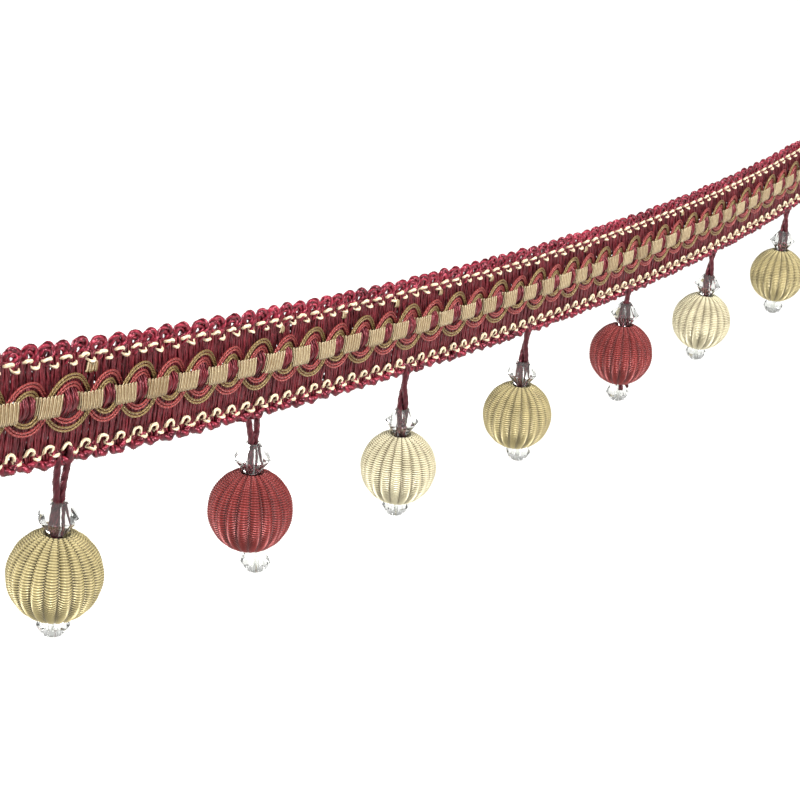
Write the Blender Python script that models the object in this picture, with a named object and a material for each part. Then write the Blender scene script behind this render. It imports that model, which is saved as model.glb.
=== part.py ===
"""A cut length of beaded ball fringe, hanging in a shallow sag.

A woven gimp heading carries pendants, each a wrapped ball threaded between two
clear beads. X runs along the heading, its front faces -Y and Z is up. The origin
is at the back of the heading's top edge, in the middle of the length. Lengths here
are millimetres, and places on the heading are given as s, v and y: s along its
line of squares from the middle, v up across it from that line, and y in depth.
"""

import math

import bmesh
import bpy
import numpy as np

MM = 0.001
GAP = 0.3  # between neighbouring pieces

# The length, and the line of squares: its slope in degrees at the middle, then the
# change of slope with the first, second and third power of the distance in 100 mm.
PENDANT_PITCH = 60.0
PENDANT_COUNT = 7
HALF_LENGTH = PENDANT_PITCH * PENDANT_COUNT / 2
LINE_SLOPES = (-2.01, 3.09, 0.406, 0.201)

# Ground: the woven sheet of burgundy yarns, whose turns stand out as loops along
# both edges. Heights are above or below the line of squares.
GROUND_THICK = 1.2
LOOP_COUNT = 84
LOOP_PITCH = 2 * HALF_LENGTH / LOOP_COUNT
TOP_EDGE = 12.5
TOP_ROOT = 9.6
BOTTOM_ROOT = -12.2
BOTTOM_EDGE = -13.5
LOOP_SHOULDERS = (0.22, 0.78)  # where a loop is at its full height, as shares of a pitch
LOOP_UNEVEN = 0.4

# Chains: one crochet chain of cream yarn along the inside of each edge.
CHAIN_TOP = (9.4, 7.9)  # its upper and lower turns
CHAIN_BOTTOM = (-8.9, -10.4)
CHAIN_WIDE = 0.9
CHAIN_THICK = 0.8

# Scroll: two bands in opposite waves, each of a red and an olive gimp cord, that
# cross under every square.
SQUARE_PITCH = 10.0
FIRST_SQUARE = -206.9
WAVE_HEIGHT = 4.4
WAVE_ROUNDNESS = 0.05  # the share of a third harmonic, which rounds the crowns
WAVE_STEPS = 8  # points in one whole wave, which is two squares long
RED_APART = 0.6  # from the middle of its band to the red cord
OLIVE_APART = 1.1  # and to the olive cord
CORD_WIDE = 1.2
CORD_THICK = 0.6
CROSSING_DIP = 1.0  # how far a band goes back where it passes under the other

# Ribbon: the beige ribbed ribbon. It shows as squares over the crossings, and
# between them dips to the ground as a narrow strip.
SQUARE_HALF_LONG = 2.7
SQUARE_HALF_HIGH = 2.15
DIP_LONG = 0.6
STRIP_HALF_HIGH = 0.7
RIBBON_THICK = 0.5
SHARP_STEP = 0.01

# Where the ribbon and the scroll were fed unevenly: places along the heading, and how
# far the pattern has slipped along it there.
SLIP_PLACES = (-210, -198, -176, -140, -95, -60, -5, 30, 78, 120, 160, 210)
SLIPS = (0.0, -1.3, 1.5, -0.2, -1.2, -1.0, 2.2, 0.7, -1.5, -0.6, 0.2, 0.0)

# Pendants. Heights are along a pendant's own axis, up from the centre of its ball.
BALL_RADIUS = 10.15  # at the corners of its facets, for a ball of 20 across
RIB_COUNT = 20
RIB_DEPTH = 0.55
BALL_RINGS = 6
BALL_BORE = 1.8
BALL_TOP_MOUTH = 2.9
BALL_TOP_FLOOR = 9.0
BALL_BOTTOM_MOUTH = 3.5
BALL_BOTTOM_FLOOR = -7.5
BEAD_SIDES = 8
BEAD_BORE = 1.45
BICONE_HEIGHT = 12.9  # its centre
BICONE_HALF_HIGH = 3.7
BICONE_RADIUS = 4.4
BICONE_TIP = 1.6
DROP_HALF_HIGH = 2.8
DROP_RADIUS = 3.6
DROP_SHOULDER = (1.5, 3.1)  # height from its centre, and radius there
DROP_TIP = 1.9
CORD_RADIUS = 0.5
LEG_HALF_PAIR = 0.65  # from the axis to each of the two legs inside the beads
TURN_STEPS = 4  # of the cord's turn at the bottom
TURN_INSIDE = 1.2  # how far under the middle of the lower bead it turns
HANG_DEPTH = -1.2  # the legs leave at the ground's front

# One row for each pendant from left to right: the colour of its ball, half the width
# between its legs at the heading, its cord from the heading to the upper bead, how far
# the centre of the round lower bead is under the ball's, the axis's lean along the
# heading and out to the front, and the turn of its beads about that axis, in
# millimetres and degrees.
PENDANTS = (
    {"ball": "ball_olive", "spread": 1.3, "cord": 6.9, "drop": 11.0, "along": -1.5, "out": -1.5, "turn": 32},
    {"ball": "ball_burgundy", "spread": 1.6, "cord": 5.1, "drop": 12.6, "along": -1.1, "out": 2.0, "turn": 20},
    {"ball": "ball_cream", "spread": 0.7, "cord": 8.5, "drop": 10.9, "along": 1.7, "out": 0.1, "turn": -50},
    {"ball": "ball_olive", "spread": 0.7, "cord": 7.5, "drop": 11.2, "along": 0.7, "out": -0.4, "turn": -35},
    {"ball": "ball_burgundy", "spread": 0.7, "cord": 2.1, "drop": 12.8, "along": -0.2, "out": 1.8, "turn": 64},
    {"ball": "ball_cream", "spread": 0.7, "cord": 6.6, "drop": 11.2, "along": -0.3, "out": -1.0, "turn": -28},
    {"ball": "ball_olive", "spread": 0.7, "cord": 6.7, "drop": 11.8, "along": -0.8, "out": 1.0, "turn": -62},
)

# Colours as linear red, green and blue, then roughness.
FINISHES = {
    "burgundy_yarn": ((0.16, 0.010, 0.022), 0.6),
    "cream_yarn": ((0.80, 0.62, 0.42), 0.6),
    "red_cord": ((0.38, 0.050, 0.055), 0.45),
    "olive_cord": ((0.22, 0.13, 0.035), 0.45),
    "beige_ribbon": ((0.66, 0.47, 0.26), 0.5),
    "ball_olive": ((0.42, 0.34, 0.12), 0.4),
    "ball_burgundy": ((0.27, 0.020, 0.030), 0.4),
    "ball_cream": ((0.70, 0.60, 0.38), 0.4),
    "clear_bead": ((0.92, 0.95, 0.96), 0.05),
}


def clear_scene():
    for thing in list(bpy.data.objects):
        bpy.data.objects.remove(thing)


def finish(name):
    """The material of that name, made when it is first asked for."""
    made = bpy.data.materials.get(name)
    if made is None:
        colour, roughness = FINISHES[name]
        made = bpy.data.materials.new(name)
        made.use_nodes = True
        shader = made.node_tree.nodes["Principled BSDF"]
        shader.inputs["Base Color"].default_value = (*colour, 1.0)
        shader.inputs["Roughness"].default_value = roughness
        shader.inputs["Metallic"].default_value = 0.0
    return made


def place(name, data, material, parent=None):
    data.materials.append(finish(material))
    thing = bpy.data.objects.new(name, data)
    thing.parent = parent
    bpy.context.scene.collection.objects.link(thing)
    return thing


def mesh_of(name, bm, smooth_below=None):
    """The bmesh as a mesh whose faces point out, smooth where they meet below that angle."""
    bmesh.ops.recalc_face_normals(bm, faces=bm.faces)
    mesh = bpy.data.meshes.new(name)
    bm.to_mesh(mesh)
    bm.free()
    if smooth_below is not None:
        mesh.shade_smooth()
        mesh.set_sharp_from_angle(angle=math.radians(smooth_below))
    return mesh


def on_heading(s, v, y):
    """Places on the heading as points in metres: the slope is a cubic in s, the line
    is its running sum, and v is measured square to the line."""
    fine = np.linspace(-1.1 * HALF_LENGTH, 1.1 * HALF_LENGTH, 4001)
    slope = np.radians(sum(c * (fine / 100) ** n for n, c in enumerate(LINE_SLOPES)))
    step = fine[1] - fine[0]
    x = np.cumsum(np.cos(slope)) * step
    z = np.cumsum(np.sin(slope)) * step
    x -= np.interp(0, fine, x)
    z -= np.interp(0, fine, z)
    tilt = np.interp(s, fine, slope)
    return MM * np.stack(
        [
            np.interp(s, fine, x) - v * np.sin(tilt),
            y + 0 * tilt,
            np.interp(s, fine, z) + v * np.cos(tilt) - TOP_EDGE,
        ],
        axis=-1,
    )


def swept(name, rings, material):
    """One closed body through a row of rings of points, with a cap at each end."""
    bm = bmesh.new()
    rows = [[bm.verts.new(point) for point in ring] for ring in rings]
    sides = len(rows[0])
    for near, far in zip(rows, rows[1:]):
        for i in range(sides):
            j = (i + 1) % sides
            bm.faces.new((near[i], near[j], far[j], far[i]))
    bm.faces.new(rows[0])
    bm.faces.new(rows[-1])
    return place(name, mesh_of(name, bm), material)


def unevenness(n):
    """How much taller or shorter than the rest the nth edge loop is, from -1 to 1."""
    return 0.6 * np.sin(2.4 * n) + 0.4 * np.sin(5.3 * n + 1)


def ground():
    """The woven sheet, with a loop's outline standing at each pitch of both edges."""
    loops = np.arange(LOOP_COUNT)
    shares = np.array([0.0, *LOOP_SHOULDERS])
    s = (-HALF_LENGTH + LOOP_PITCH * (loops[:, None] + shares)).ravel()
    full = np.tile([0.0, 1.0, 1.0], LOOP_COUNT)
    tall = TOP_EDGE - TOP_ROOT - LOOP_UNEVEN * (0.5 - 0.5 * unevenness(loops))
    top = TOP_ROOT + full * np.repeat(tall, 3)
    bottom = BOTTOM_ROOT + full * (BOTTOM_EDGE - BOTTOM_ROOT)
    s = np.append(s, HALF_LENGTH)
    top = np.append(top, TOP_ROOT)
    bottom = np.append(bottom, BOTTOM_ROOT)
    front = -GROUND_THICK
    corners = [(top, front), (top, 0.0), (bottom, 0.0), (bottom, front)]
    rings = np.stack([on_heading(s, v, y) for v, y in corners], axis=1)
    return swept("ground_tape", rings, "burgundy_yarn")


def laid_cord(name, s, v, y, wide, thick, material):
    """A cord along the points s, v, y of the heading: flat behind, with a ridge in
    front, and as wide round its bends as along its straights."""
    path = np.stack([s, v], axis=1)
    step = np.diff(path, axis=0)
    step /= np.linalg.norm(step, axis=1)[:, None]
    along = np.concatenate([step[:1], step[:-1] + step[1:], step[-1:]])
    along /= np.linalg.norm(along, axis=1)[:, None]
    mitre = np.concatenate([[1.0], (step * along[1:]).sum(axis=1)])
    side_s = -along[:, 1] * wide / 2 / mitre
    side_v = along[:, 0] * wide / 2 / mitre
    back = y + thick / 2
    corners = [
        on_heading(s + side_s, v + side_v, back),
        on_heading(s - side_s, v - side_v, back),
        on_heading(s, v, y - thick / 2),
    ]
    return swept(name, np.stack(corners, axis=1), material)


def chain(name, turns):
    """One chain, as a zigzag between its upper and its lower turns."""
    count = 2 * LOOP_COUNT + 1
    s = np.linspace(-HALF_LENGTH, HALF_LENGTH, count)
    v = np.where(np.arange(count) % 2, turns[0], turns[1])
    y = -GROUND_THICK - GAP - CHAIN_THICK / 2
    return laid_cord(name, s, v, y + 0 * s, CHAIN_WIDE, CHAIN_THICK, "cream_yarn")


def wave(s):
    """The first band's height at s: a sine two squares long with rounded crowns."""
    turn = math.pi * (s - FIRST_SQUARE) / SQUARE_PITCH
    rounded = np.sin(turn) + WAVE_ROUNDNESS * np.sin(3 * turn)
    return WAVE_HEIGHT * rounded / (1 - WAVE_ROUNDNESS)


def slipped(s):
    """Where the pattern's place s comes to lie: moved by the slip, which changes evenly
    from one of its given places to the next."""
    return s + np.interp(s, SLIP_PLACES, SLIPS)


def scroll_cord(name, band, side, apart, material):
    """One of a band's two cords. band is 1 or -1, and side is 1 for its upper cord and
    -1 for its lower. The band dips under the other at every second crossing, by the
    cube of a share that is 1 there and 0 at the crossings between."""
    step = 2 * SQUARE_PITCH / WAVE_STEPS
    before = int((FIRST_SQUARE + HALF_LENGTH) / step)
    steps = int((HALF_LENGTH - FIRST_SQUARE) / step)
    s = FIRST_SQUARE + step * np.arange(-before, steps + 1)
    s = np.concatenate([[-HALF_LENGTH], s, [HALF_LENGTH]])
    v = band * wave(s)
    rise = band * (wave(s + SHARP_STEP) - wave(s - SHARP_STEP)) / (2 * SHARP_STEP)
    lean = np.arctan(rise)
    under = (1 - band * np.cos(math.pi * (s - FIRST_SQUARE) / SQUARE_PITCH)) / 2
    y = -GROUND_THICK - GAP - CORD_THICK / 2 - CROSSING_DIP * (1 - under**3)
    s = slipped(s) - side * apart * np.sin(lean)
    v = v + side * apart * np.cos(lean)
    return laid_cord(name, s, v, y, CORD_WIDE, CORD_THICK, material)


def ribbon():
    """The beige ribbon, a raised square over each crossing and a low strip between."""
    low = -GROUND_THICK - GAP
    high = low - CROSSING_DIP - CORD_THICK - GAP
    shape = [
        (-SQUARE_HALF_LONG - DIP_LONG, STRIP_HALF_HIGH, low),
        (-SQUARE_HALF_LONG - SHARP_STEP, STRIP_HALF_HIGH, high),
        (-SQUARE_HALF_LONG, SQUARE_HALF_HIGH, high),
        (SQUARE_HALF_LONG, SQUARE_HALF_HIGH, high),
        (SQUARE_HALF_LONG + SHARP_STEP, STRIP_HALF_HIGH, high),
        (SQUARE_HALF_LONG + DIP_LONG, STRIP_HALF_HIGH, low),
    ]
    squares = np.arange(FIRST_SQUARE, HALF_LENGTH + SQUARE_PITCH, SQUARE_PITCH)
    rows = [(centre + s, half, back) for centre in squares for s, half, back in shape]
    rows = np.array([row for row in rows if abs(row[0]) < HALF_LENGTH])
    s, half, back = rows.T
    s = slipped(s)
    front = back - RIBBON_THICK
    corners = [(half, front), (half, back), (-half, back), (-half, front)]
    rings = np.stack([on_heading(s, v, y) for v, y in corners], axis=1)
    return swept("square_ribbon", rings, "beige_ribbon")


def turned(profile, steps):
    """A bead or ball with a bore: the closed profile of radii and heights, spun."""
    bm = bmesh.new()
    verts = [bm.verts.new((r * MM, 0.0, z * MM)) for r, z in profile]
    edges = [bm.edges.new((a, b)) for a, b in zip(verts, verts[1:] + verts[:1])]
    bmesh.ops.spin(
        bm,
        geom=verts + edges,
        cent=(0, 0, 0),
        axis=(0, 0, 1),
        angle=math.tau,
        steps=steps,
        use_merge=True,
    )
    return bm


def ball_mesh():
    """The wrapped ball: a sphere with ribs from mouth to mouth, widest at its equator."""
    highest = math.acos(BALL_TOP_MOUTH / BALL_RADIUS)
    lowest = -math.acos(BALL_BOTTOM_MOUTH / BALL_RADIUS)
    rings = np.linspace(highest, lowest, BALL_RINGS)
    skin = [(BALL_RADIUS * math.cos(a), BALL_RADIUS * math.sin(a)) for a in rings]
    floors = [(BALL_BORE, BALL_BOTTOM_FLOOR), (BALL_BORE, BALL_TOP_FLOOR)]
    bm = turned([*skin, *floors], 2 * RIB_COUNT)
    for vert in bm.verts:
        across = math.hypot(vert.co.x, vert.co.y)
        rib = round(math.atan2(vert.co.y, vert.co.x) / math.pi * RIB_COUNT)
        outside = across > 1.05 * BALL_TOP_MOUTH * MM
        if rib % 2 and outside:
            inward = 1 - RIB_DEPTH / BALL_RADIUS
            vert.co.x *= inward
            vert.co.y *= inward
    return mesh_of("ball", bm, smooth_below=20)


def bicone_mesh():
    """The upper bead: two flat-sided cones base to base, with small flats round its bore."""
    half = BICONE_HALF_HIGH
    profile = [
        (BEAD_BORE, half),
        (BICONE_TIP, half),
        (BICONE_RADIUS, 0.0),
        (BICONE_TIP, -half),
        (BEAD_BORE, -half),
    ]
    return mesh_of("bicone", turned(profile, BEAD_SIDES))


def drop_mesh():
    """The bead under the ball: round, with a flat-sided belt and shoulders."""
    height, radius = DROP_SHOULDER
    profile = [
        (BEAD_BORE, DROP_HALF_HIGH),
        (DROP_TIP, DROP_HALF_HIGH),
        (radius, height),
        (DROP_RADIUS, 0.0),
        (radius, -height),
        (DROP_TIP, -DROP_HALF_HIGH),
        (BEAD_BORE, -DROP_HALF_HIGH),
    ]
    return mesh_of("drop", turned(profile, BEAD_SIDES))


def hanger_curve(name, row, below):
    """The doubled cord: down from the heading as two legs that close up at the upper
    bead, side by side through the beads and the ball, and round at the bottom."""
    turn = math.radians(row["turn"])
    closed = below + BICONE_HEIGHT + BICONE_HALF_HIGH + GAP
    lowest = below - row["drop"] - TURN_INSIDE
    leg = [(row["spread"], 0.0, 0.0)]
    pair = (LEG_HALF_PAIR * math.cos(turn), LEG_HALF_PAIR * math.sin(turn))
    leg.append((*pair, closed))
    for n in range(TURN_STEPS):
        share = math.cos(math.pi * n / TURN_STEPS)
        drop = LEG_HALF_PAIR * math.sin(math.pi * n / TURN_STEPS)
        leg.append((share * pair[0], share * pair[1], lowest - drop))
    leg.append((-pair[0], -pair[1], lowest))
    leg.append((-pair[0], -pair[1], closed))
    leg.append((-row["spread"], 0.0, 0.0))
    curve = bpy.data.curves.new(name, "CURVE")
    curve.dimensions = "3D"
    curve.bevel_depth = CORD_RADIUS * MM
    curve.bevel_resolution = 1
    curve.use_fill_caps = True
    spline = curve.splines.new("POLY")
    spline.points.add(len(leg) - 1)
    for point, place_mm in zip(spline.points, leg):
        point.co = (*(MM * c for c in place_mm), 1.0)
    return curve


def pendant(number, row, ball, bicone, drop):
    """One pendant, hung from an empty at the heading's bottom edge."""
    s = (number - (PENDANT_COUNT + 1) / 2) * PENDANT_PITCH
    hook = bpy.data.objects.new(f"pendant_{number}", None)
    hook.location = on_heading(s, BOTTOM_EDGE - GAP - CORD_RADIUS, HANG_DEPTH)
    out, along = math.radians(-row["out"]), math.radians(-row["along"])
    hook.rotation_euler = (out, along, 0.0)
    bpy.context.scene.collection.objects.link(hook)
    below = -row["cord"] - BICONE_HALF_HIGH - BICONE_HEIGHT
    curve = hanger_curve(f"hanger_{number}", row, below)
    place(f"hanger_{number}", curve, "burgundy_yarn", hook)
    pieces = (
        (f"bicone_{number}", bicone, "clear_bead", BICONE_HEIGHT),
        (f"ball_{number}", ball, row["ball"], 0.0),
        (f"drop_{number}", drop, "clear_bead", -row["drop"]),
    )
    for name, mesh, material, height in pieces:
        piece = place(name, mesh.copy(), material, hook)
        piece.location = (0.0, 0.0, MM * (below + height))
        piece.rotation_euler = (0.0, 0.0, math.radians(row["turn"]))


def main():
    clear_scene()
    ground()
    chain("chain_top", CHAIN_TOP)
    chain("chain_bottom", CHAIN_BOTTOM)
    scroll_cord("scroll_a_red", -1, 1, RED_APART, "red_cord")
    scroll_cord("scroll_a_olive", -1, -1, OLIVE_APART, "olive_cord")
    scroll_cord("scroll_b_olive", 1, 1, OLIVE_APART, "olive_cord")
    scroll_cord("scroll_b_red", 1, -1, RED_APART, "red_cord")
    ribbon()
    ball, bicone, drop = ball_mesh(), bicone_mesh(), drop_mesh()
    for number, row in enumerate(PENDANTS, start=1):
        pendant(number, row, ball, bicone, drop)
    for mesh in (ball, bicone, drop):
        bpy.data.meshes.remove(mesh)


main()
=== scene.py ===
"""Dresses the solids of a hanging length of beaded ball fringe.

A gimp heading of rayon yarns, crochet chains, a gimp scroll and ribbed ribbon squares
carries seven pendants, each a thread-wrapped ball between two clear acrylic beads.
Shapes are worked out in millimetres. A place on the heading is given as s, y and v:
s along its line of squares from the middle, y in depth with the front at -y, and v up
across it from that line.
"""

import math

import bpy
import numpy as np
from bpy.props import FloatProperty, FloatVectorProperty, PointerProperty
from mathutils import Matrix, Vector


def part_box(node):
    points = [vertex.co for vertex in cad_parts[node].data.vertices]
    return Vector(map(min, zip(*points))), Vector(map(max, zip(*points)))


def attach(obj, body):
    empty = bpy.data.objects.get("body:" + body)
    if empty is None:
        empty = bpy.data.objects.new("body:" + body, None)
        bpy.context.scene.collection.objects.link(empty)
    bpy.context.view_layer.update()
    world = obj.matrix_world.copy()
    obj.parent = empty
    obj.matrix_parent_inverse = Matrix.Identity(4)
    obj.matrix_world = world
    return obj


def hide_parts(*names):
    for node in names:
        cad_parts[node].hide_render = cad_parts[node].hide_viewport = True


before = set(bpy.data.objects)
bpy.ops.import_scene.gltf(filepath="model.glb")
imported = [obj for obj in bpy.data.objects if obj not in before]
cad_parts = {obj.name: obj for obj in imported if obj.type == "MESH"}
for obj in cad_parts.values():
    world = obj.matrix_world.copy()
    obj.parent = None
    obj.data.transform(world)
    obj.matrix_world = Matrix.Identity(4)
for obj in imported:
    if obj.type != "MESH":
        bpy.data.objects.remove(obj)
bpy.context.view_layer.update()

bl_info = {
    "name": "Beaded Ball Fringe",
    "version": (1, 0, 0),
    "blender": (4, 5, 0),
    "location": "3D View > Sidebar > Ball Fringe",
    "description": "Makes the yarns, thread, beads and stage of a beaded ball fringe",
    "category": "Object",
}

MM = 0.001
TAU = math.tau
FRONT = (0.0, -1.0, 0.0)

# The heading's own measures in millimetres, the same as in the solids. The slips are how
# far its pattern has moved along at each of their places.
HALF_LENGTH = 210.0
LINE_SLOPES = (-2.01, 3.09, 0.406, 0.201)  # degrees, per power of 100 mm along
TOP_EDGE = 12.5
TOP_ROOT = 9.6
BOTTOM_EDGE = -13.5
LOOP_COUNT = 84
LOOP_PITCH = 2 * HALF_LENGTH / LOOP_COUNT
LOOP_UNEVEN = 0.4
LOWER_SHIFT = -2.0  # of the lower chain and loops along the heading
FIRST_SQUARE = -206.9
SQUARE_PITCH = 10.0
SQUARE_COUNT = 42
SQUARE_HALF_LONG = 2.7
SQUARE_HALF_HIGH = 2.15
WAVE_HEIGHT = 4.4
WAVE_ROUNDNESS = 0.05
RED_APART = 0.6  # from the middle of a scroll band to its red cord
OLIVE_APART = 1.1  # and to its olive cord
BAND_DEPTH = -2.8  # of a scroll band where it is in front
CROSSING_DIP = 1.0  # how far it goes back where it passes under the other
SQUARE_DEPTH = -3.6
SLIP_PLACES = (-210, -198, -176, -140, -95, -60, -5, 30, 78, 120, 160, 210)
SLIPS = (0.0, -1.3, 1.5, -0.2, -1.2, -1.0, 2.2, 0.7, -1.5, -0.6, 0.2, 0.0)

# The ground's yarns, in millimetres but for the two counts.
YARNS_PER_LOOP = 8
YARN_FROM, YARN_TO = -12.2, 9.6
GROUND_DEPTH = -0.72
GROUND_BOW = 0.35  # how far the ground stands out along its middle
GAP_HUMP = 1.75  # how far it rises over the ribbon between two squares
GAP_HALF_HIGH = 4.2
WIDEST_SLIT = 0.6  # between two groups of yarns
ARCH_TUCK = 0.55  # how far a stitch of the lower chain draws them back
BINDING_COUNT = 15
BINDING_FROM, BINDING_TO = -11.2, 8.8
BINDING_RADIUS = 0.55
BINDING_DEPTH = -0.15
BINDING_WEAVE = 0.08  # how far a binding thread goes in and out

# The ribbon: the ribs of a square's front and of each of its sides, the places s, y of
# its strip from the middle of a gap, and the threads of its backing.
RIBS_PER_SQUARE = 11
SIDE_RIBS = 3
STRIP_RUN = np.array(
    (
        (-3.2, -2.2),
        (-2.9, -1.6),
        (-2.6, -0.9),
        (-1.9, -0.7),
        (0.0, -0.7),
        (1.9, -0.7),
        (2.6, -0.9),
        (2.9, -1.6),
        (3.2, -2.2),
    )
)
BACKING_TOP = 7.5
BACKING_PITCH = 0.8
BACKING_DEPTH = -1.6

# The pendants' own measures, along each one's axis from the centre of its ball.
PENDANT_COUNT = 7
PENDANT_PITCH = 60.0
BALL_TO_BICONE = 12.9
BICONE_HALF_HIGH = 3.7
BICONE_RADIUS = 4.4
DROP_HALF_HIGH = 2.8
DROP_RADIUS = 3.6
RIB_COUNT = 20
TOP_MOUTH = 2.9  # radius of the wound thread's edge round the ball's upper mouth
BOTTOM_MOUTH = 3.2
PAIR_APART = 0.7  # from the axis to each leg of the cord inside the beads
CUT_ENDS_AT = 5  # the pendant whose two cord ends show under its ball
THREAD_COUNT = 41  # turns of thread from a ball's lower mouth to its upper one
THREAD_BOW = 0.3  # how far a thread sags over a rib, in thread widths
BALL_COLOURS = ("olive", "burgundy", "cream")

# For each pendant: the distance from its axis to each leg of the doubled cord at the
# heading, how the two legs leave it, their turns about each other per millimetre, how
# far the lower bead is under the ball's centre and hangs aside, and the turn of its
# beads in degrees.
PENDANTS = (
    {"spread": 1.3, "roots": ("dash", "arch"), "twist": 0.0,
     "drop": 11.0, "aside": 0.2, "turn": 32},
    {"spread": 1.6, "roots": ("behind", "behind"), "twist": 0.0,
     "drop": 12.6, "aside": 1.7, "turn": 20},
    {"spread": 0.6, "roots": ("dash", "dash"), "twist": 0.045,
     "drop": 10.9, "aside": 0.0, "turn": -50},
    {"spread": 0.6, "roots": ("dash", "dash"), "twist": 0.04,
     "drop": 11.2, "aside": 1.5, "turn": -35},
    {"spread": 0.6, "roots": ("dash", "dash"), "twist": 0.05,
     "drop": 12.8, "aside": 0.3, "turn": 64},
    {"spread": 0.6, "roots": ("behind", "dash"), "twist": 0.045,
     "drop": 11.2, "aside": 0.0, "turn": -28},
    {"spread": 0.6, "roots": ("behind", "dash"), "twist": 0.04,
     "drop": 11.8, "aside": 0.3, "turn": -62},
)

# The key places of a top loop, as s from its middle, y, and v from its root; of a
# bottom loop, as s from its middle, y and v; and of a stitch of each chain.
PICOT_KEYS = np.array(
    (
        (-0.7, -0.35, -2.2),
        (-0.9, -0.45, -0.9),
        (-1.45, -0.6, 0.1),
        (-1.62, -0.75, 1.0),
        (-1.05, -0.9, 1.8),
        (0.0, -1.0, 2.15),
        (1.08, -1.1, 1.8),
        (1.62, -1.2, 0.95),
        (1.35, -1.25, 0.1),
        (0.8, -1.2, -0.9),
        (0.6, -0.8, -2.2),
    )
)
BOTTOM_LOOP_KEYS = np.array(
    (
        (-1.5, -0.3, -9.7),
        (-2.0, -0.6, -10.9),
        (-1.75, -0.95, -11.9),
        (-0.95, -1.2, -12.5),
        (0.1, -1.35, -12.72),
        (1.15, -1.35, -12.45),
        (1.85, -1.2, -11.8),
        (2.0, -0.9, -10.8),
        (1.5, -0.6, -9.7),
    )
)
STITCHES = {
    "chain_top": (
        (-1.05, -1.0, 8.7),
        (-0.95, -1.7, 9.0),
        (-0.5, -1.95, 9.3),
        (0.1, -2.0, 9.4),
        (0.7, -1.95, 9.3),
        (1.05, -1.6, 8.95),
        (1.0, -0.9, 8.3),
        (1.5, -1.3, 7.75),
        (2.0, -1.75, 7.6),
        (2.6, -1.8, 7.6),
        (3.1, -1.5, 7.75),
        (3.5, -0.9, 8.2),
    ),
    "chain_bottom": (
        (-0.95, -0.8, -10.7),
        (-1.1, -1.75, -10.0),
        (-0.85, -1.85, -9.15),
        (0.0, -1.9, -8.75),
        (0.85, -1.85, -9.15),
        (1.1, -1.75, -10.0),
        (1.0, -0.8, -10.75),
        (1.7, -1.6, -11.05),
        (2.4, -1.95, -11.1),
        (3.1, -1.6, -11.0),
    ),
}
PICOT_COILS = ((1.0, 0.0), (0.56, 0.35))  # each one's size, and how far back it is

# The depths and heights that a leg passes through from the heading down.
LEG_ROOTS = {
    "arch": ((-0.9, -9.0), (-1.6, -9.9), (-1.9, -11.0), (-1.7, -12.6)),
    "dash": ((-0.7, -10.4), (-1.2, -11.2), (-1.5, -12.2)),
    "behind": ((-0.3, -10.5), (-0.3, -11.5), (-0.5, -12.5)),
}

# Where a thread of the ribbon's backing shows under the top chain: its place along the
# heading, and its width and height.
BACKING_BITS = (
    {"s": -174.8, "wide": 3.2, "high": 2.4},
    {"s": -114.2, "wide": 1.8, "high": 1.8},
    {"s": -90.5, "wide": 1.6, "high": 1.6},
    {"s": -68.3, "wide": 1.8, "high": 1.9},
    {"s": -48.7, "wide": 1.6, "high": 1.7},
    {"s": -23.9, "wide": 1.8, "high": 1.8},
    {"s": 28.0, "wide": 1.7, "high": 1.8},
    {"s": 91.0, "wide": 1.9, "high": 1.7},
    {"s": 145.0, "wide": 1.7, "high": 1.8},
)

# The camera: millimetres, and degrees of turn, of tilt downwards and of roll.
CAMERA_PLACE = (-403.4, -226.7, 129.2)
CAMERA_TURN = 56.55
CAMERA_TILT = 21.22
CAMERA_ROLL = -5.20
CAMERA_LENS = 77.26
CAMERA_SENSOR = 36.0


def linear(code):
    """An sRGB hex colour as linear red, green and blue."""
    parts = np.array([int(code[i : i + 2], 16) for i in (1, 3, 5)]) / 255
    low = parts / 12.92
    high = ((parts + 0.055) / 1.055) ** 2.4
    return tuple(float(c) for c in np.where(parts <= 0.04045, low, high))


def length(name, millimetres, description):
    """A setting that is a length, given here in millimetres."""
    return FloatProperty(
        name=name,
        description=description,
        default=millimetres * MM,
        min=0.0,
        unit="LENGTH",
        precision=5,
    )


def colour(name, code, description):
    """A setting that is a colour, given here as sRGB hex."""
    return FloatVectorProperty(
        name=name,
        description=description,
        default=linear(code),
        min=0.0,
        max=1.0,
        size=3,
        subtype="COLOR",
    )


class HeadingSettings(bpy.types.PropertyGroup):
    ground_yarn: length("Ground yarn", 0.72, "Width of the yarns of the ground")
    picot_yarn: length("Picot yarn", 1.42, "Width of the yarn of the top loops")
    loop_yarn: length("Lower loop yarn", 2.2, "Width of the yarn of the lower loops")
    chain_yarn: length("Chain yarn", 0.76, "Width of the cream crochet yarn")
    gimp_strand: length("Gimp strand", 0.5, "Width of one strand of a gimp cord")
    gimp_spread: length("Gimp spread", 0.62, "From one strand to the next in a cord")
    ribbon_rib: length("Ribbon rib", 0.45, "Width of one rib of a square")


class PendantSettings(bpy.types.PropertyGroup):
    ball_width: length("Ball", 20.0, "Width of a wrapped ball over its ribs")
    rib_depth: length("Rib depth", 0.8, "How deep the valleys between ribs are")
    thread_relief: length("Thread relief", 0.15, "How far the threads stand out")
    cord: length("Hanging cord", 1.6, "Width of one leg of the hanging cord")


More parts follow.
